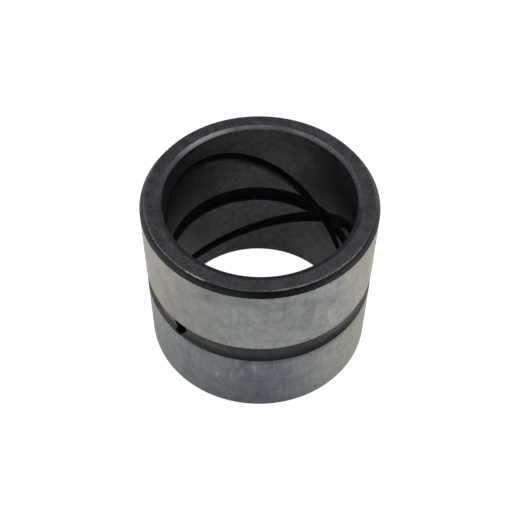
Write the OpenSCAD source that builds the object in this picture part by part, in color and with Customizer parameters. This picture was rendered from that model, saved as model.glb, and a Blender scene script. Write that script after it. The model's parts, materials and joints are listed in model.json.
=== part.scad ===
// Hardened steel pin bushing: one turned sleeve with a grease groove outside, a grease groove inside,
// two round-bottomed oil grooves that cross in a figure of eight, and two grease holes at the crossings.
// The sleeve stands on its lower end with the bore along +Z and the origin on the axis at that end.

/* [Sleeve] */
// Outside diameter, ground for a press fit in its housing
body_d = 80; // [78:0.5:110]
// Bore diameter, a running fit on the pin
bore_d = 65; // [46:0.5:67]
// Length along the axis
body_l = 68; // [56:0.5:120]

/* [End chamfers] */
// Length of the lead-in chamfer outside each end
lead_l = 2; // [0.5:0.1:6]
// Depth of the lead-in chamfer, measured inwards from the outside
lead_depth = 1.4; // [0.3:0.1:2.5]
// Width of the shallow bevel round each mouth of the bore
mouth_w = 1.7; // [0.5:0.1:3]
// Depth of that bevel below the end face
mouth_depth = 0.5; // [0.3:0.1:2]

/* [Outer groove] */
// Width of the grease groove round the outside
outer_groove_w = 7.7; // [4:0.1:12]
// Depth of the groove round the outside
outer_groove_depth = 1.7; // [0.8:0.1:2.5]
// Radius in the floor corners of the groove round the outside
outer_groove_r = 0.4; // [0.2:0.1:0.7]

/* [Inner groove] */
// Width of the grease groove round the bore
inner_groove_w = 7.4; // [4:0.1:12]
// Depth of the groove round the bore
inner_groove_depth = 1.2; // [0.8:0.1:2]
// Radius in the floor corners of the groove round the bore
inner_groove_r = 0.4; // [0.2:0.1:0.7]
// How far the middle of all the grooves in the bore lies below mid length
inner_groove_drop = 0.4; // [-1:0.1:1]

/* [Oil grooves] */
// How far each oil groove rises above and falls below the grease groove's middle
oil_rise = 24.2; // [8:0.1:29.5]
// Width of an oil groove at the bore
oil_w = 4.4; // [2:0.1:5]
// Depth of an oil groove
oil_depth = 1.3; // [0.6:0.1:1.8]
// Direction in which the first oil groove crosses the middle on its way up
oil_up_dir = 46.5; // [0:0.5:359]
// Direction in which the second oil groove crosses the middle on its way down
oil_down_dir = 41; // [0:0.5:359]

/* [Grease holes] */
// Diameter of each grease hole through the wall
hole_d = 5.6; // [3:0.1:7]
// Direction of the first hole
hole_dir = 43; // [0:1:359]
// Angle from the first hole round to the second
hole_gap = 183; // [150:1:210]
// How far the holes lie below mid length, which takes them a little into the grooves' lower walls
hole_drop = 1.5; // [-1.5:0.1:1.5]

/* [Hidden] */
$fn = 180;
body_r = body_d / 2;
bore_r = bore_d / 2;
mid_z = body_l / 2;
// Heights of the middle of the grooves in the bore, and of the grease holes
groove_z = mid_z - inner_groove_drop;
hole_z = mid_z - hole_drop;
// Radius of the round-nosed cutter that leaves an oil groove of this width and depth
oil_tool_r = (oil_w * oil_w / 4 + oil_depth * oil_depth) / (2 * oil_depth);
// Where the cutter's centre runs, measured from the bushing's axis
oil_path_r = bore_r + oil_depth - oil_tool_r;
// How far round its own section the cutter is modelled, to each side of the groove's deepest line
oil_reach = 105;
// Points across one section of the cutter
oil_points = 9;
// Sections in one turn round the bore
oil_steps = 96;
// How far cutting shapes run past the surface that they cut
overcut = 1;

// Half of the sleeve's section: the wall with both end chamfers and both mouth bevels
module wall_section() {
    polygon([
        [bore_r + mouth_w, 0],
        [body_r - lead_depth, 0],
        [body_r, lead_l],
        [body_r, body_l - lead_l],
        [body_r - lead_depth, body_l],
        [bore_r + mouth_w, body_l],
        [bore_r, body_l - mouth_depth],
        [bore_r, mouth_depth]
    ]);
}

// Section of a turned groove that opens towards -X, with its floor at x = depth and its middle at y = 0
module groove_section(width, depth, corner_r) {
    translate([-overcut, -width / 2])
        square([overcut + depth - corner_r, width]);
    translate([-overcut, corner_r - width / 2])
        square([overcut + depth, width - 2 * corner_r]);
    for (side = [-1, 1])
        translate([depth - corner_r, side * (width / 2 - corner_r)])
            circle(r = corner_r);
}

// The turned blank, before anything is milled or drilled in it
module turned_blank() {
    rotate_extrude()
        difference() {
            wall_section();
            translate([bore_r, groove_z])
                groove_section(inner_groove_w, inner_groove_depth, inner_groove_r);
            translate([body_r, mid_z])
                mirror([1, 0])
                    groove_section(outer_groove_w, outer_groove_depth, outer_groove_r);
        }
}

// A point of the cutter's surface, given the direction a round the bore, the angle b round the cutter's
// section, the direction in which the path crosses the grooves' middle, and its signed rise
function cutter_point(a, b, cross_dir, rise) =
    let (
        slope = atan(rise * cos(a - cross_dir) / bore_r),
        out = oil_path_r + oil_tool_r * cos(b),
        around = -oil_tool_r * sin(b) * sin(slope),
        up = groove_z + rise * sin(a - cross_dir) + oil_tool_r * sin(b) * cos(slope)
    )
    [out * cos(a) - around * sin(a), out * sin(a) + around * cos(a), up];

// What one oil groove takes away: a round-nosed cutter led once round the bore on a tilted path
module oil_groove(cross_dir, rise) {
    points = [
        for (i = [0:oil_steps - 1])
            for (j = [0:oil_points - 1])
                cutter_point(360 * i / oil_steps, oil_reach * (2 * j / (oil_points - 1) - 1), cross_dir, rise)
    ];
    faces = [
        for (i = [0:oil_steps - 1])
            for (j = [0:oil_points - 1])
                let (
                    next_i = (i + 1) % oil_steps,
                    next_j = (j + 1) % oil_points
                )
                [
                    i * oil_points + j,
                    i * oil_points + next_j,
                    next_i * oil_points + next_j,
                    next_i * oil_points + j
                ]
    ];
    polyhedron(points = points, faces = faces);
}

// A grease hole from the outer groove to the inner one
module grease_hole(direction) {
    rotate([0, 0, direction])
        translate([bore_r - overcut, 0, hole_z])
            rotate([0, 90, 0])
                cylinder(d = hole_d, h = body_r - bore_r + 2 * overcut);
}

module bushing() {
    color([0.42, 0.43, 0.42])
        difference() {
            turned_blank();
            oil_groove(oil_up_dir, oil_rise);
            oil_groove(oil_down_dir, -oil_rise);
            grease_hole(hole_dir);
            grease_hole(hole_dir + hole_gap);
        }
}

bushing();
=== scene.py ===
from collections import Counter
from functools import partial, reduce
import json
import math

import bmesh
import bpy
import numpy as np
from mathutils import Matrix, Vector
from mathutils.geometry import delaunay_2d_cdt


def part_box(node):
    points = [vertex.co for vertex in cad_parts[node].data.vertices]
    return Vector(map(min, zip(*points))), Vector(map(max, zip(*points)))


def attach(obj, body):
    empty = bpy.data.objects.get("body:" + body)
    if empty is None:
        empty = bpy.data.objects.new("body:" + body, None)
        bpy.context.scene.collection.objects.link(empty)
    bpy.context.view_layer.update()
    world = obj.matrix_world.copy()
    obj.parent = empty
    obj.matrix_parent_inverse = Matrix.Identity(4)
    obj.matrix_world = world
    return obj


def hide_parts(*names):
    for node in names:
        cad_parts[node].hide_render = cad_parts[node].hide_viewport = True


# The bushing as in the photograph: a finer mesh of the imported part, its materials, camera, floor and lights
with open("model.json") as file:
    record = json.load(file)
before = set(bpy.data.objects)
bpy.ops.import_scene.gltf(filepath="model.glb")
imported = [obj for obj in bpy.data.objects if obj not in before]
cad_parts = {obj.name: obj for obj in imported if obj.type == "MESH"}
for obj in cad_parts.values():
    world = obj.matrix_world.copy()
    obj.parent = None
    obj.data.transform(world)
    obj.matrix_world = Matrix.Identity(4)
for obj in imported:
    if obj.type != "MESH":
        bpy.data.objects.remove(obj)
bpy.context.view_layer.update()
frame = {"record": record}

# Sizes in millimetres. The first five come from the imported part, and the others repeat its source.
MM = 0.001
MOUNTS = {m["name"]: m["dims"] for m in frame["record"]["mounts"]}
low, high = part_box("bushing")
LENGTH = round((high.z - low.z) / MM, 3)
BODY_R = MOUNTS["outside"]["r_mm"]
BORE_R = MOUNTS["bore"]["r_mm"]
LEAD_L = (LENGTH - MOUNTS["outside"]["length_mm"]) / 2
MOUTH_DEPTH = (LENGTH - MOUNTS["bore"]["length_mm"]) / 2
MID_Z = LENGTH / 2
LEAD_DEPTH = 1.4
MOUTH_W = 1.7
OUTER_GROOVE_W = 7.7
OUTER_GROOVE_DEPTH = 1.7
INNER_GROOVE_W = 7.4
INNER_GROOVE_DEPTH = 1.2
GROOVE_CORNER_R = 0.4
INNER_GROOVE_DROP = 0.4
GROOVE_Z = MID_Z - INNER_GROOVE_DROP
OIL_RISE = 24.2
OIL_W = 4.4
OIL_DEPTH = 1.3
OIL_UP_DIR = 46.5
OIL_DOWN_DIR = 41
OIL_TOOL_R = (OIL_W ** 2 / 4 + OIL_DEPTH ** 2) / (2 * OIL_DEPTH)
HOLE_R = 2.8
HOLE_DROP = 1.5
HOLE_Z = MID_Z - HOLE_DROP
HOLE_DIR = 43
HOLE_GAP = 183
HOLE_DIRS = (HOLE_DIR, HOLE_DIR + HOLE_GAP)

# Size of the round on each edge
EDGE_TOP = 0.14
EDGE_LEAD = 0.2
EDGE_GROOVE = 0.12
EDGE_MOUTH = 0.2
EDGE_OIL = 0.4
EDGE_HOLE = 0.25
# How worn the end face's edges are, at the mouth and at the chamfer
WEAR_MOUTH = 0.15
WEAR_TOP = 1
# How far the wear along an edge fades out on either side of it, and its share at the ends of the round
WEAR_REACH = 0.6
WEAR_ENDS = 0.7

# Mesh density: columns round the bushing, points round a grease hole, and degrees between points of a round
COLUMNS = 240
HOLE_POINTS = 64
ARC_STEP = 12
# Direction of the seam of the unrolled walls, and spare columns past it at either end
SEAM = -90
MARGIN = 8
# Slope of a turned groove's walls, and of an oil groove's past the arc that the cutter leaves
WALL_STEEPNESS = 10
# Share of the cutter's radius up to which its arc is followed
ARC_SHARE = 0.999
# Rounds of the search for the nearest point of an oil groove's middle line
FOOT_ROUNDS = 4
# Rings drawn round a grease hole's rim, and lines drawn along the edge of a groove, given as places off them
RIM_STEPS = (0.03, 0.08, 0.16, 0.25)
WALL_STEPS = (0.3, 0.05, 0.015, -0.01, -0.03, -0.06, -0.09, -0.12, -0.16, -0.4)
OIL_STEPS = (0.35, 0.14, 0.05, -0.03, -0.1, -0.2, -0.4)
# Lines along an oil groove's floor, as shares of half its width
OIL_FLOOR = (0.6, 0.4, 0.2)
# How far from the grooves the spare points of the plain bore stay
CLEARANCE = 0.9
# Reach of the search for a grease hole's rim, in radii of the hole
RIM_SEARCH = 1.2
# Heights above which the bore and the outer groove are drawn unrolled, and points up their seams
BORE_LOW = MOUTH_DEPTH + 0.6
OUTER_LOW = MID_Z - OUTER_GROOVE_W / 2 - 1.2
BORE_ROWS = 28
OUTER_ROWS = 7
# Depth from which a groove has its own surface, and the step over which a wall's slope is measured
RELIEF_FROM = 0.04
SLOPE_STEP = 0.004
# Distances at which points count as one, on a plan and in the mesh, and the size of what is a sliver
PLAN_WELD = 0.0001
WELD = 0.002
SLIVER = WELD / 10

# Material slots of the mesh, in order
GROUND, FACE, CHAMFER, BEVEL, BORE, OIL, RELIEF, DRILLED = range(8)


def spin(angle, r, z):
    """Points at these angles (radians), radii and heights, one a row."""
    return np.stack(np.broadcast_arrays(r * np.cos(angle), r * np.sin(angle), z), -1)


def column_angles(margin=0):
    """The angle of each column of the mesh, from the seam once round, with this many more at either end."""
    return np.radians(SEAM + 360 * np.arange(-margin, COLUMNS + margin + 1) / COLUMNS)


def rounded_path(corners):
    """Rounds each corner (r, z, radius, how worn it is, zone after it) of a turned outline.

    Gives the points, their outward normals, how worn each is, and the zone of each stretch between them.
    """
    points, normals, wear, zones = [], [], [], []

    def place(point, heading, worn, zone):
        points.append(point)
        normals.append((heading[1], -heading[0]))
        wear.append(worn)
        zones.append(zone)

    for i, (r, z, radius, worn, zone) in enumerate(corners):
        here = np.array([r, z])
        last_zone = corners[max(i - 1, 0)][4]
        if i in (0, len(corners) - 1):
            other = np.array(corners[1 if i == 0 else i - 1][:2])
            heading = (other - here) * (1 if i == 0 else -1)
            place(here, heading / np.linalg.norm(heading), 0, zone)
            continue
        way_in = here - np.array(corners[i - 1][:2])
        way_out = np.array(corners[i + 1][:2]) - here
        size_in, size_out = np.linalg.norm(way_in), np.linalg.norm(way_out)
        way_in, way_out = way_in / size_in, way_out / size_out
        left = np.array([-way_in[1], way_in[0]])
        turn = math.atan2(left @ way_out, way_in @ way_out)
        reach = radius * math.tan(abs(turn) / 2)
        centre = here - way_in * reach + math.copysign(radius, turn) * left
        if size_in > 2 * (reach + WEAR_REACH):
            place(here - way_in * (reach + WEAR_REACH), way_in, 0, last_zone)
        steps = 2 * max(1, math.ceil(math.degrees(abs(turn)) / (2 * ARC_STEP)))
        for k in range(steps + 1):
            a = turn * k / steps
            heading = way_in * math.cos(a) + left * math.sin(a)
            out = np.array([heading[1], -heading[0]])
            middle = 1 - abs(2 * k / steps - 1)
            share = WEAR_ENDS + (1 - WEAR_ENDS) * middle
            place(centre + math.copysign(radius, turn) * out, heading, worn * share,
                  last_zone if k < steps / 2 else zone)
        if size_out > 2 * (reach + WEAR_REACH):
            place(here + way_out * (reach + WEAR_REACH), way_out, 0, zone)
    return np.array(points), np.array(normals), np.array(wear), zones[:-1]


class Shell:
    """Gathers the patches of one closed surface."""

    def __init__(self):
        self.points, self.normals, self.wear, self.faces, self.zones = [], [], [], [], []
        self.count = 0

    def add(self, points, normals, wear, faces, zones):
        """Adds one patch: its points, their normals and wear, its faces, and the zone of each face."""
        self.points.append(points)
        self.normals.append(normals)
        self.wear.append(np.broadcast_to(wear, len(points)))
        self.faces += [tuple(int(v) + self.count for v in face) for face in faces]
        self.zones += zones
        self.count += len(points)

    def lathe(self, corners):
        """Turns an outline round the axis."""
        path, out, wear, zones = rounded_path(corners)
        angles = column_angles()[:-1]
        n = len(angles)
        points = np.concatenate([spin(angles, r, z) for r, z in path])
        normals = np.concatenate([spin(angles, nr, nz) for nr, nz in out])
        faces = [
            (i * n + j, i * n + (j + 1) % n, (i + 1) * n + (j + 1) % n, (i + 1) * n + j)
            for i in range(len(path) - 1)
            for j in range(n)
        ]
        self.add(points, normals, np.repeat(wear, n), faces, [z for z in zones for _ in range(n)])

    def mesh(self, name):
        """One mesh of every patch, welded along their borders, with the normals that the patches gave."""
        mesh = bpy.data.meshes.new(name)
        mesh.from_pydata((np.concatenate(self.points) * MM).tolist(), [], self.faces)
        wear = mesh.attributes.new("wear", "FLOAT", "POINT")
        wear.data.foreach_set("value", np.concatenate(self.wear).astype(np.float32))
        out = mesh.attributes.new("out", "FLOAT_VECTOR", "POINT")
        out.data.foreach_set("vector", np.concatenate(self.normals).astype(np.float32).ravel())
        mesh.polygons.foreach_set("material_index", self.zones)
        bm = bmesh.new()
        bm.from_mesh(mesh)
        bmesh.ops.remove_doubles(bm, verts=bm.verts, dist=WELD * MM)
        bmesh.ops.dissolve_degenerate(bm, dist=SLIVER * MM, edges=bm.edges)
        bm.to_mesh(mesh)
        bm.free()
        mesh.shade_smooth()
        normals = np.empty(3 * len(mesh.vertices), np.float32)
        mesh.attributes["out"].data.foreach_get("vector", normals)
        mesh.attributes.remove(mesh.attributes["out"])
        mesh.normals_split_custom_set_from_vertices(normals.reshape(-1, 3).tolist())
        return mesh


class Plan:
    """An unrolled wall: points (along, z) and the lines that its triangles follow."""

    def __init__(self, wall_r, z_low, rows):
        self.wall_r = wall_r
        self.turn = 2 * math.pi * wall_r
        self.points, self.edges, self.holes = [], [], []
        self.along = (column_angles(MARGIN) - math.radians(SEAM)) * wall_r
        for z in (z_low, LENGTH - z_low):
            self.line(self.along, z)
        for seam in (0, self.turn):
            self.line(seam, np.linspace(z_low, LENGTH - z_low, rows))

    def scatter(self, along, z):
        """Adds points, and gives the number of the first of them."""
        start = len(self.points)
        self.points += np.stack(np.broadcast_arrays(along, z), -1).tolist()
        return start

    def line(self, along, z):
        """Adds points and a line through them."""
        along, z = np.broadcast_arrays(along, z)
        start = self.scatter(along, z)
        self.edges += [(start + k, start + k + 1) for k in range(len(along) - 1)]

    def hole(self, direction, radius_at):
        """A grease hole with rings round its rim."""
        for off in (0,) + RIM_STEPS:
            start = self.scatter(*hole_ring(direction, self.wall_r, radius_at, off))
            if not off:
                self.holes.append(list(range(start, start + HOLE_POINTS)))
            self.edges += [(start + k, start + (k + 1) % HOLE_POINTS) for k in range(HOLE_POINTS)]

    def triangles(self):
        """Triangulates the plan and keeps what lies in one turn of the wall and in no hole."""
        points = [Vector(p) for p in self.points]
        # Output type 0 gives every triangle of the hull, and the last value asks for the owners
        verts, _, faces, _, _, owners = delaunay_2d_cdt(points, self.edges, self.holes, 0, PLAN_WELD, True)
        verts = np.array(verts, float)
        kept = [f for f, o in zip(faces, owners) if not o and 0 < verts[list(f), 0].mean() < self.turn]
        used = sorted({v for face in kept for v in face})
        place = {v: k for k, v in enumerate(used)}
        return verts[used, 0], verts[used, 1], [tuple(place[v] for v in face) for face in kept]

    def rims(self, along, z, faces, points):
        """The rim that the triangles leave round each grease hole, as points in order round the hole."""
        borders = Counter(frozenset(pair) for face in faces for pair in zip(face, face[1:] + face[:1]))
        edge = np.array(sorted({v for pair, uses in borders.items() if uses == 1 for v in pair}))
        found = []
        for direction in HOLE_DIRS:
            off = along[edge] - math.radians((direction - SEAM) % 360) * self.wall_r
            near = edge[np.hypot(off, z[edge] - HOLE_Z) < HOLE_R * RIM_SEARCH]
            side, up = hole_frame(direction, points[near])[:2]
            angle = np.arctan2(up, side)
            order = np.argsort(angle)
            found.append((angle[order], points[near][order]))
        return found


def hole_frame(direction, points):
    """Where points lie as seen along a grease hole: to the side, up, and how far out."""
    a = math.radians(direction)
    x, y, z = points.T
    return y * math.cos(a) - x * math.sin(a), z - HOLE_Z, x * math.cos(a) + y * math.sin(a)


def hole_ring(direction, wall_r, radius_at, off):
    """The ring this far outside a grease hole's rim, on the plan of a wall."""
    a = np.linspace(0, 2 * np.pi, HOLE_POINTS, endpoint=False)
    z = HOLE_Z + (HOLE_R + off) * np.sin(a)
    turn = np.arcsin((HOLE_R + off) * np.cos(a) / radius_at(z)) + math.radians((direction - SEAM) % 360)
    return turn * wall_r, z


def smooth_max(a, b, k):
    """The larger of two depths, rounded where they meet."""
    return np.maximum(a, b) + np.maximum(k - np.abs(a - b), 0) ** 2 / (4 * k)


def ring_depth(z, width, depth, middle):
    """Depth of a turned grease groove at this height, with near-upright walls."""
    wall = (width / 2 - np.abs(z - middle)) * WALL_STEEPNESS
    return -smooth_max(-wall, -depth, GROOVE_CORNER_R)


def inner_ring_r(z):
    """Radius of the bore or of the grease groove in it, at this height."""
    return BORE_R + np.maximum(ring_depth(z, INNER_GROOVE_W, INNER_GROOVE_DEPTH, GROOVE_Z), 0)


def outer_ring_r(z):
    """Radius of the outside or of the grease groove round it, at this height."""
    return BODY_R - smooth_max(ring_depth(z, OUTER_GROOVE_W, OUTER_GROOVE_DEPTH, MID_Z), 0, EDGE_GROOVE)


def oil_height(along, direction, rise):
    """Height and slope of an oil groove's middle line, this far along the unrolled bore."""
    turn = along / BORE_R + math.radians(SEAM - direction)
    return GROOVE_Z + rise * np.sin(turn), rise / BORE_R * np.cos(turn)


def oil_depth(along, z, direction, rise):
    """Depth of one oil groove at a point of the unrolled bore."""
    foot = np.array(along, float)
    for _ in range(FOOT_ROUNDS):
        height, slope = oil_height(foot, direction, rise)
        foot += ((along - foot) + (z - height) * slope) / (1 + slope ** 2)
    height, slope = oil_height(foot, direction, rise)
    off = np.hypot(along - foot, z - height)
    inside = np.minimum(off, OIL_TOOL_R * ARC_SHARE)
    arc = np.sqrt(OIL_TOOL_R ** 2 - inside ** 2) - (OIL_TOOL_R - OIL_DEPTH)
    return arc - (off - inside) * WALL_STEEPNESS


def rim_depth(along, z, wall_r, radius_at):
    """Depth of the rounding round the grease holes' rims, on a wall of this radius."""
    depth = np.zeros(np.broadcast(along, z).shape)
    for direction in HOLE_DIRS:
        turn = along / wall_r + math.radians(SEAM - direction)
        side = np.where(np.cos(turn) > 0, radius_at(z) * np.sin(turn), wall_r)
        into = np.clip(EDGE_HOLE + HOLE_R - np.hypot(side, z - HOLE_Z), 0, EDGE_HOLE)
        depth = np.maximum(depth, EDGE_HOLE - np.sqrt(EDGE_HOLE ** 2 - into ** 2))
    return depth


def bore_depth(along, z):
    """How far the bore's surface lies outside the bore's own radius."""
    depth = smooth_max(ring_depth(z, INNER_GROOVE_W, INNER_GROOVE_DEPTH, GROOVE_Z), 0, EDGE_OIL)
    depth = smooth_max(depth, oil_depth(along, z, OIL_UP_DIR, OIL_RISE), EDGE_OIL)
    depth = smooth_max(depth, oil_depth(along, z, OIL_DOWN_DIR, -OIL_RISE), EDGE_OIL)
    return depth + rim_depth(along, z, BORE_R, inner_ring_r)


def outer_depth(along, z):
    """How far the outside, with its grease groove, lies inside the bushing's own radius."""
    return BODY_R - outer_ring_r(z) + rim_depth(along, z, BODY_R, outer_ring_r)


def roll_up(wall_r, depth, outward, along, z):
    """Points, normals and depths of an unrolled wall, rolled up again."""
    angle = along / wall_r + math.radians(SEAM)
    h = SLOPE_STEP
    depths = depth(along, z)
    slope_along = (depth(along + h, z) - depth(along - h, z)) / (2 * h)
    slope_z = (depth(along, z + h) - depth(along, z - h)) / (2 * h)
    around = spin(angle + math.pi / 2, 1, 0)
    normals = outward * spin(angle, 1, 0) + slope_along[:, None] * around
    normals[:, 2] += slope_z
    normals /= np.linalg.norm(normals, axis=1)[:, None]
    return spin(angle, wall_r - outward * depths, z), normals, depths


def groove_lines(plan, width, middle):
    """Lines along a turned groove's edges and floor."""
    for off in (*(width / 2 + step for step in WALL_STEPS), width / 4):
        plan.line(plan.along, middle + off)
        plan.line(plan.along, middle - off)
    plan.line(plan.along, middle)


def bore_wall(shell):
    """The bore with its grease groove, its two oil grooves and the inner rims of the grease holes."""
    plan = Plan(BORE_R, BORE_LOW, BORE_ROWS)
    groove_lines(plan, INNER_GROOVE_W, GROOVE_Z)
    tracks = ((OIL_UP_DIR, OIL_RISE), (OIL_DOWN_DIR, -OIL_RISE))
    half = OIL_W / 2
    for track in tracks:
        height, slope = oil_height(plan.along, *track)
        lean = np.hypot(1, slope)
        for off in (*(half + step for step in OIL_STEPS), *(half * share for share in OIL_FLOOR)):
            plan.line(plan.along - off * slope / lean, height + off / lean)
            plan.line(plan.along + off * slope / lean, height - off / lean)
        plan.line(plan.along, height)
    for direction in HOLE_DIRS:
        plan.hole(direction, inner_ring_r)
    along, z = np.meshgrid(plan.along[::2], np.linspace(BORE_LOW, LENGTH - BORE_LOW, BORE_ROWS)[1:-1])
    clear = np.abs(z - GROOVE_Z) > INNER_GROOVE_W / 2 + CLEARANCE
    for track in tracks:
        height, slope = oil_height(along, *track)
        clear &= np.abs(z - height) / np.hypot(1, slope) > half + CLEARANCE
    plan.scatter(along[clear], z[clear])
    along, z, faces = plan.triangles()
    points, normals, depths = roll_up(BORE_R, bore_depth, -1, along, z)
    in_groove = depths > RELIEF_FROM
    zones = [OIL if in_groove[list(face)].all() else BORE for face in faces]
    shell.add(points, normals, 0, [face[::-1] for face in faces], zones)
    return plan.rims(along, z, faces, points)


def outer_wall(shell):
    """The outer groove with the land next to it and the outer rims of the grease holes."""
    plan = Plan(BODY_R, OUTER_LOW, OUTER_ROWS)
    groove_lines(plan, OUTER_GROOVE_W, MID_Z)
    for direction in HOLE_DIRS:
        plan.hole(direction, outer_ring_r)
    along, z, faces = plan.triangles()
    points, normals, depths = roll_up(BODY_R, outer_depth, 1, along, z)
    in_groove = depths > RELIEF_FROM
    zones = [RELIEF if in_groove[list(face)].all() else GROUND for face in faces]
    shell.add(points, normals, 0, faces, zones)
    return plan.rims(along, z, faces, points)


def angle_after(angles, k):
    """The angle of the point after this one of a ring, or infinity when the ring is closed."""
    if k >= len(angles):
        return math.inf
    return angles[(k + 1) % len(angles)] + 2 * math.pi * (k + 1 >= len(angles))


def hole_wall(shell, direction, inner, outer):
    """The wall of a grease hole between two rims, each given as angles round the hole and points."""
    (inner_a, inner_p), (outer_a, outer_p) = inner, outer
    points = np.concatenate([inner_p, outer_p])
    side, up, _ = hole_frame(direction, points)
    a = math.radians(direction)
    normals = -np.stack([-side * math.sin(a), side * math.cos(a), up], -1)
    normals /= np.linalg.norm(normals, axis=1)[:, None]
    inner_count, outer_count = len(inner_a), len(outer_a)
    i = j = 0
    faces = []
    while i < inner_count or j < outer_count:
        here = (i % inner_count, inner_count + j % outer_count)
        if angle_after(inner_a, i) < angle_after(outer_a, j):
            i += 1
            faces.append((*here, i % inner_count))
        else:
            j += 1
            faces.append((*here, inner_count + j % outer_count))
    shell.add(points, normals, 0, faces, [DRILLED] * len(faces))


def turned_skin(shell):
    """The ends, chamfers and lands: one outline for the lower half, and its mirror image.

    Only the end faces and the chamfers show wear, so their edges alone have it.
    """
    lower = [
        (BORE_R, BORE_LOW, 0, 0, BORE),
        (BORE_R, MOUTH_DEPTH, EDGE_MOUTH, 0, BEVEL),
        (BORE_R + MOUTH_W, 0, EDGE_MOUTH, WEAR_MOUTH, FACE),
        (BODY_R - LEAD_DEPTH, 0, EDGE_TOP, WEAR_TOP, CHAMFER),
        (BODY_R, LEAD_L, EDGE_LEAD, 0, GROUND),
        (BODY_R, OUTER_LOW, 0, 0, GROUND),
    ]
    zones_back = [lower[max(i - 1, 0)][4] for i in range(len(lower))]
    upper = [(r, LENGTH - z, radius, worn, zone) for (r, z, radius, worn, _), zone in zip(lower, zones_back)]
    shell.lathe(lower)
    shell.lathe(upper[::-1])


def make_sleeve():
    """The finer mesh of the bushing, with its materials in the order of their slots."""
    shell = Shell()
    turned_skin(shell)
    for direction, inner, outer in zip(HOLE_DIRS, bore_wall(shell), outer_wall(shell)):
        hole_wall(shell, direction, inner, outer)
    mesh = shell.mesh("sleeve")
    for maker in (ground_steel, end_face_oxide, chamfer_oxide, bevel_oxide, bore_oxide, greasy_groove,
                  outer_groove_oxide, drilled_steel):
        mesh.materials.append(maker())
    sleeve = bpy.data.objects.new("sleeve", mesh)
    bpy.context.scene.collection.objects.link(sleeve)
    return sleeve


class Nodes:
    """Builds the node tree of a material or of the world."""

    def __init__(self, owner):
        self.owner = owner
        owner.use_nodes = True
        self.tree = owner.node_tree
        self.tree.nodes.clear()

    def add(self, kind, inputs=None, **settings):
        """A new node. Each input is a value or another node's output."""
        node = self.tree.nodes.new(kind)
        for key, value in settings.items():
            setattr(node, key, value)
        for key, value in (inputs or {}).items():
            self.feed(node.inputs[key], value)
        return node

    def feed(self, socket, value):
        if isinstance(value, bpy.types.NodeSocket):
            self.tree.links.new(value, socket)
        else:
            socket.default_value = value

    def math(self, operation, a, b=0.0):
        return self.add("ShaderNodeMath", {0: a, 1: b}, operation=operation).outputs[0]

    def product(self, *values):
        return reduce(partial(self.math, "MULTIPLY"), values)

    def highest(self, *values):
        return reduce(partial(self.math, "MAXIMUM"), values)

    def blend(self, *parts):
        """The sum of several values, each given with its share."""
        return reduce(partial(self.math, "ADD"), [self.product(*part) for part in parts])

    def ramp(self, value, low, high, to_low=0.0, to_high=1.0):
        """Goes from to_low to to_high while the value goes from low to high, and stays there."""
        inputs = {"Value": value, "From Min": low, "From Max": high, "To Min": to_low, "To Max": to_high}
        return self.add("ShaderNodeMapRange", inputs).outputs["Result"]

    def mix(self, share, a, b):
        """The colour between a and b that has this share of b."""
        node = self.add("ShaderNodeMix", data_type="RGBA")
        for key, value in (("Factor_Float", share), ("A_Color", a), ("B_Color", b)):
            self.feed(next(s for s in node.inputs if s.identifier == key), value)
        return next(s for s in node.outputs if s.identifier == "Result_Color")


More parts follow.
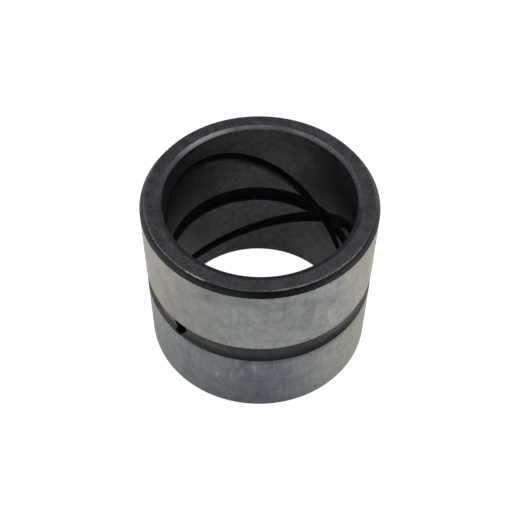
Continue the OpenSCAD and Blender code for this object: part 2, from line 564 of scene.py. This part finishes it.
class Metal(Nodes):
    """Builds a material of the bushing, with the place on it in millimetres."""

    def __init__(self, name):
        super().__init__(bpy.data.materials.new(name))
        inputs = {"Vector": self.add("ShaderNodeTexCoord").outputs["Object"], "Scale": 1 / MM}
        self.place = self.add("ShaderNodeVectorMath", inputs, operation="SCALE").outputs["Vector"]
        self.x, self.y, self.z = self.split(self.place)
        self.radius = self.math("SQRT", self.blend((self.x, self.x), (self.y, self.y)))

    def split(self, vector):
        return self.add("ShaderNodeSeparateXYZ", {0: vector}).outputs[:]

    def noise(self, vector, scale=1.0, detail=4.0, roughness=0.55):
        inputs = {"Vector": vector, "Scale": scale, "Detail": detail, "Roughness": roughness}
        return self.add("ShaderNodeTexNoise", inputs).outputs["Fac"]

    def blotches(self, scale, shift, **kind):
        """Noise with this many cells a millimetre, alike in every direction, and moved by this shift."""
        moved = self.add("ShaderNodeVectorMath", {0: self.place, 1: (shift, shift, shift)}, operation="ADD")
        return self.noise(moved.outputs["Vector"], scale, **kind)

    def around(self, turns, height, out=0.0, shift=0.0):
        """A place for noise that runs round the axis: this fine round it, up it and away from it."""
        x, y = (self.product(self.math("DIVIDE", side, self.radius), turns) for side in (self.x, self.y))
        far = self.math("ADD", self.product(self.radius, out), shift)
        z = self.math("ADD", self.product(self.z, height), far)
        return self.add("ShaderNodeCombineXYZ", {0: x, 1: y, 2: z}).outputs[0]

    def facing(self, direction):
        """The cosine between the way out from the axis and this direction in degrees."""
        a = math.radians(direction)
        return self.math("DIVIDE", self.blend((self.x, math.cos(a)), (self.y, math.sin(a))), self.radius)

    def fade(self, direction, first, last, *values):
        """Changes between two cosines to a direction: from 0 to 1, or between the values given."""
        return self.ramp(self.facing(direction), first, last, *values)

    def upward(self):
        """How far the surface faces up, from -1 to 1, where the bushing stands."""
        return self.split(self.add("ShaderNodeNewGeometry").outputs["Normal"])[2]

    def bearing(self):
        """Degrees round the axis from the front, with the right side above zero."""
        turn = self.math("ARCTAN2", self.x, self.product(self.y, -1))
        return self.product(turn, 180 / math.pi)

    def off_bearing(self, middle, first, last, share):
        """Grows to this share from first to last degrees of bearing off the middle, either way."""
        off = self.math("ABSOLUTE", self.math("SUBTRACT", self.bearing(), middle))
        return self.ramp(off, first, last, 0.0, share)

    def sector(self, direction, half_width, soft):
        """1 up to this many degrees from a direction, fading to 0 over the next ones."""
        inner, outer = (math.cos(math.radians(a)) for a in (half_width, half_width + soft))
        return self.fade(direction, outer, inner)

    def spot(self, direction, height, wide, high):
        """A soft oval spot, 1 in its middle, at this direction and height.

        Its width is what it would measure on the outside of the bushing.
        """
        side = self.product(self.facing(direction + 90), 2 * BODY_R / wide)
        up = self.product(self.math("SUBTRACT", self.z, height), 2 / high)
        near = self.ramp(self.blend((side, side), (up, up)), 1, 0)
        return self.product(near, near, self.math("GREATER_THAN", self.facing(direction), 0))

    def strongest(self, shape, places):
        """The strongest of several spots or sectors, each given as what the shape takes and its strength."""
        return self.highest(*(self.product(shape(*place), strength) for *place, strength in places))

    def finish(self, colour, rough, height, bump, metallic=1.0, shine=0.5):
        """Closes the tree: colour, roughness, and a bump of this many millimetres from the height."""
        normal = self.add("ShaderNodeBump", {"Height": height, "Strength": 1.0, "Distance": bump * MM})
        inputs = {"Base Color": colour, "Roughness": rough, "Normal": normal.outputs["Normal"],
                  "Metallic": metallic, "Specular IOR Level": shine}
        shader = self.add("ShaderNodeBsdfPrincipled", inputs)
        self.add("ShaderNodeOutputMaterial", {"Surface": shader.outputs[0]})
        return self.owner


def rgb(r, g, b):
    """A colour given as it shows on screen, 0 to 255, as linear light (the sRGB curve)."""
    def linear(c):
        c /= 255
        return c / 12.92 if c <= 0.04045 else ((c + 0.055) / 1.055) ** 2.4
    return (linear(r), linear(g), linear(b), 1.0)


# Directions in degrees from +X: the side nearest the camera, and the far side
FRONT, BACK = -90, 90
# What fades round the bushing is given below as a direction, the two cosines to it between which it fades,
# and its values there where they aren't 0 and 1

# Marks on the ground outside: direction, height, width and height of the mark, how strong it is
SCRATCHES = (
    (-82.4, 26.8, 1.2, 8.0, 1.0),
    (-91.7, 26.0, 2.6, 9.0, 0.5),
    (-97.4, 22.8, 1.6, 5.0, 0.5),
    (-100.2, 28.0, 1.4, 6.0, 0.7),
    (-103.2, 20.2, 1.8, 7.0, 0.7),
    (-110.7, 17.5, 2.0, 5.0, 0.7),
    (-86.8, 12.0, 1.6, 9.0, 0.4),
    (-74, 20.0, 1.2, 6.0, 0.4),
    (-121, 25.0, 1.4, 6.0, 0.5),
    (-137, 13.0, 1.4, 9.0, 0.5),
)
STAINS = (
    (-127, 22.0, 3.2, 13.0, 0.5),
    (-58.6, 5.0, 2.6, 2.4, 1.0),
    (-24.4, 8.6, 2.0, 2.0, 0.6),
    (-125.6, 47.0, 6.0, 7.0, 0.3),
    (-135, 47.0, 3.0, 4.0, 0.25),
    (-67, 52.0, 8.0, 32.0, 0.5),
    (-60, 44.0, 12.0, 16.0, 0.3),
    (-76, 52.0, 26.0, 44.0, 0.2),
    (-113.5, 61.6, 7.0, 8.0, 0.6),
    (-80, 61.0, 16.0, 12.0, 0.4),
    (-92, 63.5, 42.0, 14.0, 0.3),
    (-53, 54.5, 4.0, 5.0, 0.4),
    (-50, 38.5, 50.0, 7.0, 0.22),
    (-70, 44.0, 22.0, 12.0, 0.15),
)
# Painted shade and painted light in the bore, given like the marks outside
BORE_PAINTED_SHADE = (
    (40, 46.0, 60.0, 26.0, 1.0),
    (80, 41.0, 40.0, 10.0, 0.28),
    (56, 48.0, 14.0, 10.0, 0.5),
    (32, 26.0, 30.0, 14.0, 0.6),
    (138, 23.0, 34.0, 26.0, 0.6),
    (152, 28.5, 28.0, 14.0, 1.0),
    (150, 19.0, 22.0, 18.0, 0.55),
    (157, 41.0, 36.0, 12.0, 0.65),
)
BORE_PAINTED_LIGHT = (
    (48, 7.0, 36.0, 30.0, 0.45),
    (108, 65.0, 56.0, 12.0, 0.6),
)
# Small warm patches of the lands, paler patches of the lower land, and painted light on the outer groove's
# floor
WARM_PATCHES = (
    (-110, 43.0, 30.0, 12.0, 0.22),
    (-64, 24.5, 14.0, 14.0, 0.25),
)
PALE_PATCHES = ((-116, 21.5, 34.0, 22.0, 0.2),)
GROOVE_PAINTED_LIGHT = ((-114, 32.0, 26.0, 9.0, 0.2),)

# Cosines to the front between which the land's darker painted reflection of the shaded floor gives way to the
# sides' paler one, and how far noise moves them
SIDE_COSINES = (0.95, 0.6)
SIDE_WANDER = 0.6
# Heights between which the lower land's painted shade ends, how dull it paints its sides, and where they are
# bluer
LOWER_TOP = (31.5, 30.5)
LOWER_DULL = 0.95
LOWER_LEFT = (-160, 0.3, 0.85)
# Share of a slow change between two hues all over
HUE_SHARE = 0.35
# The warm stretch of the upper land: direction, half width and border, its heights, and how warm it is
WARM_LEFT = (-137, 12, 20)
WARM_HEIGHTS = (63, 54, 0.35, 1.0)
WARMTH = 0.28
# The bluish painted shade of the lower land in front, a reflection of the shaded floor: bearings over which
# it begins and ends, and how far noise moves them
COOL_LEFT = (-52, -3)
COOL_RIGHT = (43, 10)
COOL_WANDER = 25
# How far up from the foot the front gets painted shade, and how much
FOOT_TOP = 15
FOOT_FRONT = (FRONT, 0.6, 0.95)
FOOT_SHADE = 0.35
# Lower edge of the outer groove, how far below it the land gets painted shade, and how much by direction
GROOVE_FOOT = MID_Z - OUTER_GROOVE_W / 2
BRIM = 2.4
BRIM_SHADE = (-40, 0.5, 0.9, 0.1, 0.65)
# How fast the oxide on a land thins out with each millimetre from its border, and how much it covers
RAGGED_FALL = 0.12
RAGGED_SHARE = 0.6


def ragged_edge(n):
    """Where oxide creeps from a chamfer or the groove on to the land beside it, in small notches."""
    height = n.math("ABSOLUTE", n.math("SUBTRACT", n.z, MID_Z))
    off_lead = n.math("SUBTRACT", MID_Z - LEAD_L, height)
    off_groove = n.math("SUBTRACT", height, OUTER_GROOVE_W / 2)
    off = n.product(n.math("MINIMUM", off_lead, off_groove), RAGGED_FALL)
    return n.ramp(n.math("ADD", n.blotches(1.4, shift=1.0, detail=3.0), off), 0.5, 0.42)


def land_tones_and_painted_reflections(n, tone):
    """The steel's tones with painted reflections: cool and darker in front, warm and paler round the sides,
    and a bluish painted shade low in front.
    """
    cloud = n.math("SUBTRACT", n.blotches(0.07, shift=3.0, detail=3.0), 0.5)
    lower = n.ramp(n.z, *LOWER_TOP)
    # Painted reflection: darker and cooler in front where the floor is shaded, paler and warmer round the
    # sides
    front = n.mix(tone, rgb(109, 115, 120), rgb(160, 164, 168))
    sides = n.mix(tone, rgb(132, 130, 123), rgb(185, 182, 174))
    # Painted shade of the lower land's sides: duller, and bluer on the left
    left = n.fade(*LOWER_LEFT)
    dull = n.mix(left, rgb(107, 108, 98), rgb(115, 121, 125))
    bright = n.mix(left, rgb(157, 156, 144), rgb(162, 168, 173))
    sides = n.mix(n.product(lower, LOWER_DULL), sides, n.mix(tone, dull, bright))
    to_front = n.math("ADD", n.facing(FRONT), n.product(cloud, SIDE_WANDER))
    colour = n.mix(n.ramp(to_front, *SIDE_COSINES), front, sides)
    hue = n.ramp(n.blotches(0.16, shift=5.0, detail=3.0), 0.42, 0.58)
    colour = n.mix(HUE_SHARE, colour, n.mix(hue, rgb(140, 149, 144), rgb(155, 150, 142)))
    upper = n.math("SUBTRACT", 1.0, lower)
    warm = n.product(n.sector(*WARM_LEFT), upper, n.ramp(n.z, *WARM_HEIGHTS), WARMTH)
    colour = n.mix(warm, colour, rgb(161, 153, 140))
    # Painted shade: the lower land turns bluish and darker in front
    bearing = n.math("ADD", n.bearing(), n.product(cloud, COOL_WANDER))
    cool = n.product(n.ramp(bearing, *COOL_LEFT), n.ramp(bearing, *COOL_RIGHT), lower)
    colour = n.mix(cool, colour, n.mix(tone, rgb(82, 86, 94), rgb(114, 118, 126)))
    colour = n.mix(n.product(n.strongest(n.spot, PALE_PATCHES), lower), colour, rgb(146, 151, 158))
    return n.mix(n.strongest(n.spot, WARM_PATCHES), colour, rgb(146, 139, 126))


def land_shade_and_stains(n, colour, mottle):
    """Paints shade on the steel near the foot and under the outer groove, and adds stains and ragged oxide.
    """
    # Painted shade near the foot at the front
    foot = n.product(n.ramp(n.z, FOOT_TOP, LEAD_L), n.fade(*FOOT_FRONT), FOOT_SHADE)
    colour = n.mix(foot, colour, rgb(84, 88, 93))
    # Painted shade just below the outer groove's lower edge
    below = n.product(n.ramp(n.z, GROOVE_FOOT - BRIM, GROOVE_FOOT), n.math("LESS_THAN", n.z, MID_Z))
    colour = n.mix(n.product(below, n.fade(*BRIM_SHADE)), colour, rgb(66, 68, 68))
    stains = n.product(n.strongest(n.spot, STAINS), n.ramp(mottle, 0.35, 0.6, 1.0, 0.7))
    colour = n.mix(stains, colour, rgb(74, 78, 74))
    return n.mix(n.product(ragged_edge(n), RAGGED_SHARE), colour, rgb(60, 62, 60))


def ground_steel():
    """The ground outside: bright steel, with faint grinding lines, stains and scratches, and painted
    reflections and shade.
    """
    n = Metal("ground_steel")
    lines = n.noise(n.around(1.2, 9.0), detail=5.0, roughness=0.75)
    streaks = n.noise(n.around(26.0, 0.06, shift=9.0), detail=3.0, roughness=0.6)
    mottle = n.blotches(0.22, shift=7.0, detail=4.0, roughness=0.62)
    grain = n.blotches(1.0, shift=4.0, detail=3.0, roughness=0.7)
    tone = n.ramp(n.blend((mottle, 0.5), (streaks, 0.17), (grain, 0.33)), 0.39, 0.61)
    colour = land_shade_and_stains(n, land_tones_and_painted_reflections(n, tone), mottle)
    broken = n.product(n.ramp(streaks, 0.35, 0.55), n.ramp(grain, 0.38, 0.55, 0.2, 1.0))
    colour = n.mix(n.product(n.strongest(n.spot, SCRATCHES), broken), colour, rgb(168, 171, 178))
    rough = n.ramp(n.math("ADD", lines, mottle), 0.7, 1.3, 0.34, 0.46)
    return n.finish(colour, rough, n.blend((lines, 0.7), (mottle, 0.3)), bump=0.012)


# Shares of the fine speckle and of broader patches in the oxide's tone, and how far its roughness varies
SPECKLE, PATCHES = 0.55, 0.45
ROUGH_SPREAD = 0.05


def oxide(n, dark, light, rough, bare=None, metallic=0.6, shine=0.5, turned=0.0):
    """Dark oxide with a fine speckle and turning marks, and bare steel for this share of it."""
    fine = n.blotches(1.3, shift=5.0, detail=3.0, roughness=0.7)
    patches = n.blotches(0.35, shift=8.0, detail=3.0)
    marks = n.noise(n.around(0.8, 4.0, out=4.0), detail=4.0)
    tone = n.blend((fine, SPECKLE - turned / 2), (patches, PATCHES - turned / 2), (marks, turned))
    colour = n.mix(n.ramp(tone, 0.41, 0.59), dark, light)
    if bare:
        bare = n.product(bare, n.ramp(fine, 0.4, 0.55, 0.45, 1.0))
        colour = n.mix(bare, colour, rgb(158, 160, 156))
    rough = n.ramp(fine, 0.3, 0.7, rough - ROUGH_SPREAD, rough + ROUGH_SPREAD)
    height = n.blend((fine, 0.6), (marks, 0.4))
    return n.finish(colour, rough, height, bump=0.015, metallic=metallic, shine=shine)


# Bare stretches of the end face's edge: direction, half width, border, how bare; and how bare the rest is
BARE_RIM = (
    (-147, 22, 12, 0.42),
    (-121.5, 3, 4, 1.5),
    (-75, 4, 4, 0.6),
    (-58, 22, 12, 0.48),
    (90, 80, 30, 0.25),
)
LEAST_BARE = 0.1
# Wear at which steel begins to show through, and at which it is as bare as it gets
FACE_WEAR = (0.1, 0.6)
CHAMFER_WEAR = (0.4, 1.0)
# Where the end face is darker, and how much
FACE_SHADE = (-50, 0.0, 0.8, 0.0, 0.45)


def bare_edge(n, begin, full):
    """How bare the end face's edge is, broken by noise, and more on some stretches than on others.

    It begins at one value of the wear, and is full from the other one up.
    """
    wear = n.add("ShaderNodeAttribute", attribute_name="wear").outputs["Fac"]
    broken = n.ramp(n.blotches(0.9, shift=2.0, detail=3.0), 0.4, 0.6, 0.3, 1.0)
    along = n.product(n.highest(n.strongest(n.sector, BARE_RIM), LEAST_BARE), broken)
    return n.product(n.ramp(wear, begin, full), along)


def end_face_oxide():
    """A little purple here and there, and darker at the front right."""
    n = Metal("end_face_oxide")
    tint = n.ramp(n.blotches(0.22, shift=6.0, detail=3.0), 0.42, 0.58)
    dark = n.mix(tint, rgb(30, 31, 33), rgb(34, 33, 40))
    light = n.mix(tint, rgb(58, 60, 61), rgb(61, 59, 68))
    light = n.mix(n.fade(*FACE_SHADE), light, rgb(38, 38, 42))
    return oxide(n, dark, light, rough=0.48, bare=bare_edge(n, *FACE_WEAR))


# The chamfer's sides turn paler in two steps: bearing of the middle, degrees off it, and how much
CHAMFER_STEPS = ((5, 5, 22, 0.42), (1, 46, 75, 0.58))
# A stretch where they are less pale: direction, half width, border, how much less
CHAMFER_DARK = ((-132, 5, 10, 0.14),)
# Radii between which the chamfer turns paler outwards
CHAMFER_RADII = (BODY_R - 1.1, BODY_R - 0.5)


def chamfer_oxide():
    """Black in front, and greyer round the sides and towards the outside."""
    n = Metal("chamfer_oxide")
    sides = n.math("ADD", *(n.off_bearing(*step) for step in CHAMFER_STEPS))
    sides = n.math("SUBTRACT", sides, n.strongest(n.sector, CHAMFER_DARK))
    outer = n.ramp(n.radius, *CHAMFER_RADII)
    dark_side = n.mix(outer, rgb(16, 17, 18), rgb(46, 47, 48))
    light_side = n.mix(outer, rgb(32, 32, 32), rgb(70, 70, 70))
    dark = n.mix(sides, n.mix(outer, rgb(5, 6, 8), rgb(9, 10, 12)), dark_side)
    light = n.mix(sides, n.mix(outer, rgb(14, 15, 17), rgb(20, 21, 23)), light_side)
    return oxide(n, dark, light, rough=0.45, bare=bare_edge(n, *CHAMFER_WEAR), shine=0.2)


# Bare worn stretches of the mouth's bevel, partly painted highlights, given like those of the end face's edge
BEVEL_WEAR_AND_HIGHLIGHTS = (
    (126, 8, 14, 0.27),
    (52, 14, 12, 0.26),
    (20, 16, 14, 0.18),
    (92, 6, 10, 0.08),
)
# Where the bevel is blackest with painted shade on the near side, the radii between which it darkens inwards,
# and how much less bare it is there
BEVEL_NEAR_SHADE = (FRONT, 0.2, 0.75)
BEVEL_RADII = (BORE_R + 0.9, BORE_R)
BEVEL_COVER = 0.5


def bevel_oxide():
    """Rubbed by the pins that went in, with painted highlights: barest on the far side, and black with
    painted shade on the near one.
    """
    n = Metal("bevel_oxide")
    # Painted shade: the near side of the bevel turns black
    near = n.fade(*BEVEL_NEAR_SHADE)
    inner = n.ramp(n.radius, *BEVEL_RADII)
    dark = n.mix(inner, n.mix(near, rgb(31, 31, 36), rgb(18, 18, 20)), rgb(15, 15, 18))
    light = n.mix(inner, n.mix(near, rgb(51, 51, 57), rgb(30, 30, 32)), rgb(26, 26, 30))
    kept = n.math("SUBTRACT", 1.0, n.product(inner, BEVEL_COVER))
    # Bare worn stretches, partly painted highlights
    return oxide(n, dark, light, rough=0.4, bare=n.product(n.strongest(n.sector, BEVEL_WEAR_AND_HIGHLIGHTS), kept))


# Painted shade: heights between which the bore's sides turn darker, and then paler again, and where round the
# bore they are
BORE_SHADE = (20, 42)
BORE_PALE = (56, 64, 1.0, 0.5)
BORE_SIDES = (BACK, 0.97, 0.6)
# Painted shade: heights over which its darkest belt begins and ends, where that lies round the bore, and how
# dark it is
BELT_LOW = (32, 42)
BELT_HIGH = (58, 50)
BELT_SIDES = (BACK, 0.94, 0.75)
BELT_SHADE = 0.5


def bore_oxide():
    """Oxide with painted light and shade: palest on the far side near the mouth, and darker high up at both
    sides.
    """
    n = Metal("bore_oxide")
    # Painted shade high on the sides, in a belt and in spots, and painted light in pale spots
    high = n.ramp(n.z, *BORE_SHADE)
    shade = n.product(high, n.fade(*BORE_SIDES), n.ramp(n.z, *BORE_PALE))
    belt = n.product(n.ramp(n.z, *BELT_LOW), n.ramp(n.z, *BELT_HIGH), n.fade(*BELT_SIDES), BELT_SHADE)
    belt = n.highest(belt, n.strongest(n.spot, BORE_PAINTED_SHADE))
    dark = n.mix(high, rgb(61, 63, 67), rgb(69, 71, 75))
    light = n.mix(high, rgb(81, 83, 88), rgb(93, 95, 100))
    for share, dark_there, light_there in (
        (shade, rgb(32, 34, 39), rgb(50, 52, 58)),
        (belt, rgb(20, 22, 26), rgb(34, 36, 41)),
        (n.strongest(n.spot, BORE_PAINTED_LIGHT), rgb(105, 107, 111), rgb(125, 127, 133)),
    ):
        dark = n.mix(share, dark, dark_there)
        light = n.mix(share, light, light_there)
    return oxide(n, dark, light, rough=0.33, metallic=0.85)


# Where the oil grooves' edges are drier: radii, heights and direction
DRY_RADII = (BORE_R + 0.9, BORE_R + 0.25)
DRY_HEIGHTS = (38, 42)
DRY_SIDE = (95, 0.8, 0.92)


def greasy_groove():
    """Black with old grease, here and there a little olive, and drier along the upper oil groove's edges."""
    n = Metal("greasy_groove")
    olive = n.ramp(n.blotches(0.09, shift=11.0, detail=2.0), 0.48, 0.6)
    dry = n.product(n.ramp(n.radius, *DRY_RADII), n.ramp(n.z, *DRY_HEIGHTS), n.fade(*DRY_SIDE))
    dark = n.mix(dry, rgb(4, 5, 5), rgb(43, 45, 48))
    light = n.mix(dry, n.mix(olive, rgb(13, 13, 12), rgb(19, 19, 10)), rgb(53, 55, 59))
    return oxide(n, dark, light, rough=0.7, metallic=0, shine=0.1)


# Radii between which a grease hole's wall is bare, and how far noise moves them
DRILLED_RADII = (BODY_R - 0.6, BODY_R + 0.4)
DRILLED_WANDER = 1.2


def drilled_steel():
    """A grease hole: black with grease inside, bare where the drill ran out over the outer groove's wall."""
    n = Metal("drilled_steel")
    mottle = n.blotches(1.0, shift=4.0, detail=4.0)
    bare = n.ramp(n.math("ADD", n.radius, n.product(mottle, DRILLED_WANDER)), *DRILLED_RADII)
    colour = n.mix(bare, rgb(8, 8, 6), rgb(62, 61, 59))
    return n.finish(colour, rough=0.5, height=mottle, bump=0.02, metallic=0.8, shine=0.2)


# Painted light: where the outer groove is paler, away from the front, and less so at the back
GROOVE_SIDES = (FRONT, 0.9, 0.5)
GROOVE_BACK = (BACK, 0.7, 0.0, 0.4, 1.0)
# Heights between which its floor turns paler downwards, painted light that lifts the shade near its lower
# wall
GROOVE_HEIGHTS = (GROOVE_FOOT + 5.5, GROOVE_FOOT + 0.8)
# Painted shade on its lower wall under the upper land: how far up the surface faces there, the direction, and
# the radii
LEDGE_UP = (0.3, 0.9)
LEDGE_SIDE = (-70, 0.55, 0.9, 0.2, 1.0)
LEDGE_RADII = (BODY_R - OUTER_GROOVE_DEPTH, BODY_R - 0.4, 0.3, 1.0)


def outer_groove_oxide():
    """Oxide with painted light and shade: dark in front and paler round the sides, as the land beside it is,
    and a painted shade on its lower wall.
    """
    n = Metal("outer_groove_oxide")
    # Painted light round the sides and low on the floor
    sides = n.product(n.fade(*GROOVE_SIDES), n.fade(*GROOVE_BACK))
    sides = n.highest(sides, n.strongest(n.spot, GROOVE_PAINTED_LIGHT))
    low = n.ramp(n.z, *GROOVE_HEIGHTS)
    dark = n.mix(sides, n.mix(low, rgb(29, 29, 30), rgb(51, 51, 52)), rgb(104, 103, 102))
    light = n.mix(sides, n.mix(low, rgb(43, 44, 44), rgb(72, 73, 73)), rgb(134, 133, 131))
    # Painted shade on the lower wall
    ledge = n.product(n.ramp(n.upward(), *LEDGE_UP), n.fade(*LEDGE_SIDE), n.ramp(n.radius, *LEDGE_RADII))
    dark = n.mix(ledge, dark, rgb(20, 20, 21))
    light = n.mix(ledge, light, rgb(31, 31, 33))
    return oxide(n, dark, light, rough=0.6, metallic=0.15, shine=0.3, turned=0.3)


# The photograph in pixels: its side, the middle of the bushing on it, and the focal length
IMAGE_PX = 520
OBJECT_PX = (259.210, 260.883)
FOCAL_PX = 991.3
# The camera: sensor and distance in millimetres, elevation and roll in degrees, near limit in metres
SENSOR = 36
CAMERA_DISTANCE = 354.63
CAMERA_ELEVATION = 51.958
CAMERA_ROLL = 0.771
CLIP_START = 0.01


def make_camera():
    """The photograph's camera, placed so that the bushing's middle lies where it does there."""
    data = bpy.data.cameras.new("camera")
    data.sensor_fit = "HORIZONTAL"
    data.sensor_width = SENSOR
    data.lens = FOCAL_PX / IMAGE_PX * SENSOR
    data.clip_start = CLIP_START
    camera = bpy.data.objects.new("camera", data)
    bpy.context.scene.collection.objects.link(camera)
    tilt = math.radians(CAMERA_ELEVATION)
    back = Vector((0, -math.cos(tilt), math.sin(tilt)))
    right = Vector((1, 0, 0))
    up = back.cross(right)
    aim_x = math.atan2(OBJECT_PX[0] - IMAGE_PX / 2, FOCAL_PX)
    aim_y = math.atan2(IMAGE_PX / 2 - OBJECT_PX[1], FOCAL_PX)
    ahead = -back * math.cos(aim_y) - up * math.sin(aim_y)
    up = up * math.cos(aim_y) - back * math.sin(aim_y)
    ahead, right = (
        ahead * math.cos(aim_x) - right * math.sin(aim_x),
        right * math.cos(aim_x) + ahead * math.sin(aim_x),
    )
    roll = math.radians(CAMERA_ROLL)
    right, up = (
        right * math.cos(roll) + up * math.sin(roll),
        up * math.cos(roll) - right * math.sin(roll),
    )
    eye = (Vector((0, 0, MID_Z)) + back * CAMERA_DISTANCE) * MM
    camera.matrix_world = Matrix((
        (right.x, up.x, -ahead.x, eye.x),
        (right.y, up.y, -ahead.y, eye.y),
        (right.z, up.z, -ahead.z, eye.z),
        (0, 0, 0, 1),
    ))
    bpy.context.scene.camera = camera


# Plain white, which the camera sees of the room
WHITE = (1.0, 1.0, 1.0, 1.0)
# The floor: half its side in metres, and how far it lies below the foot in millimetres
FLOOR_HALF = 3.0
FLOOR_DROP = 0.02
# How white it is under the light: as metal mirrors it, and as the camera sees it, with a glow of its own
MIRRORED_WHITE = 0.9
SEEN_WHITE = 0.2
SEEN_GLOW = 0.93
# How bright the room is as metal mirrors it and as light, and its bluish tint
MIRRORED_ROOM = 0.5
ROOM_LIGHT = 0.25
ROOM_TINT = (0.97, 0.99, 1.04, 1.0)
# Soft lights: name, direction from the bushing, distance and side in metres, share of the light, colour
LIGHTS = (
    ("softbox", (0.3, 0.21, 0.93), 1.1, 0.6, 0.42, (1.0, 0.98, 0.94)),
    ("top_panel", (0.0, -0.2, 0.98), 1.2, 0.4, 0.25, (1.0, 0.98, 0.94)),
    ("front_panel", (-0.1, -0.6, 0.78), 1.2, 0.8, 0.1, (1.0, 1.0, 1.0)),
    ("left_panel", (-0.92, -0.3, 0.25), 1.2, 0.7, 0.3, (1.0, 0.99, 0.96)),
    ("right_panel", (0.92, -0.3, 0.25), 1.2, 0.7, 0.2, (1.0, 0.99, 0.95)),
)


def make_floor():
    """A white floor that stays white on the picture, but for the bushing's shadow."""
    mesh = bpy.data.meshes.new("floor")
    corners = [(x * FLOOR_HALF, y * FLOOR_HALF, 0) for x, y in ((-1, -1), (1, -1), (1, 1), (-1, 1))]
    mesh.from_pydata(corners, [], [(0, 1, 2, 3)])
    floor = bpy.data.objects.new("floor", mesh)
    floor.location.z = -FLOOR_DROP * MM
    bpy.context.scene.collection.objects.link(floor)
    n = Nodes(bpy.data.materials.new("white_floor"))
    seen = n.add("ShaderNodeLightPath").outputs["Is Camera Ray"]
    matt = n.add("ShaderNodeBsdfDiffuse", {"Color": n.ramp(seen, 0, 1, MIRRORED_WHITE, SEEN_WHITE)})
    glow = n.add("ShaderNodeEmission", {"Strength": n.product(seen, SEEN_GLOW)})
    both = n.add("ShaderNodeAddShader", {0: matt.outputs[0], 1: glow.outputs[0]})
    n.add("ShaderNodeOutputMaterial", {"Surface": both.outputs[0]})
    mesh.materials.append(n.owner)


def make_world():
    """An even pale room, plain white where the camera sees it."""
    n = Nodes(bpy.data.worlds.new("room"))
    path = n.add("ShaderNodeLightPath").outputs
    seen, mirrored = path["Is Camera Ray"], path["Is Glossy Ray"]
    strength = n.highest(n.ramp(mirrored, 0, 1, ROOM_LIGHT, MIRRORED_ROOM), seen)
    inputs = {"Color": n.mix(seen, ROOM_TINT, WHITE), "Strength": strength}
    light = n.add("ShaderNodeBackground", inputs)
    n.add("ShaderNodeOutputWorld", {"Surface": light.outputs[0]})
    bpy.context.scene.world = n.owner


def make_lights():
    """Square soft lights that face the bushing's middle."""
    for name, direction, distance, size, share, colour in LIGHTS:
        data = bpy.data.lights.new(name, "AREA")
        data.shape = "SQUARE"
        data.size = size
        # The power grows with the square of the distance, so the same share of light arrives from anywhere
        data.energy = share * (math.pi * distance) ** 2
        data.color = colour
        light = bpy.data.objects.new(name, data)
        direction = Vector(direction).normalized()
        light.location = Vector((0, 0, MID_Z * MM)) + direction * distance
        light.rotation_euler = direction.to_track_quat("Z", "Y").to_euler()
        bpy.context.scene.collection.objects.link(light)


def main():
    sleeve = make_sleeve()
    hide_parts("bushing")
    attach(sleeve, "root")
    make_camera()
    make_floor()
    make_world()
    make_lights()
    bpy.context.scene.view_settings.view_transform = "Standard"


main()
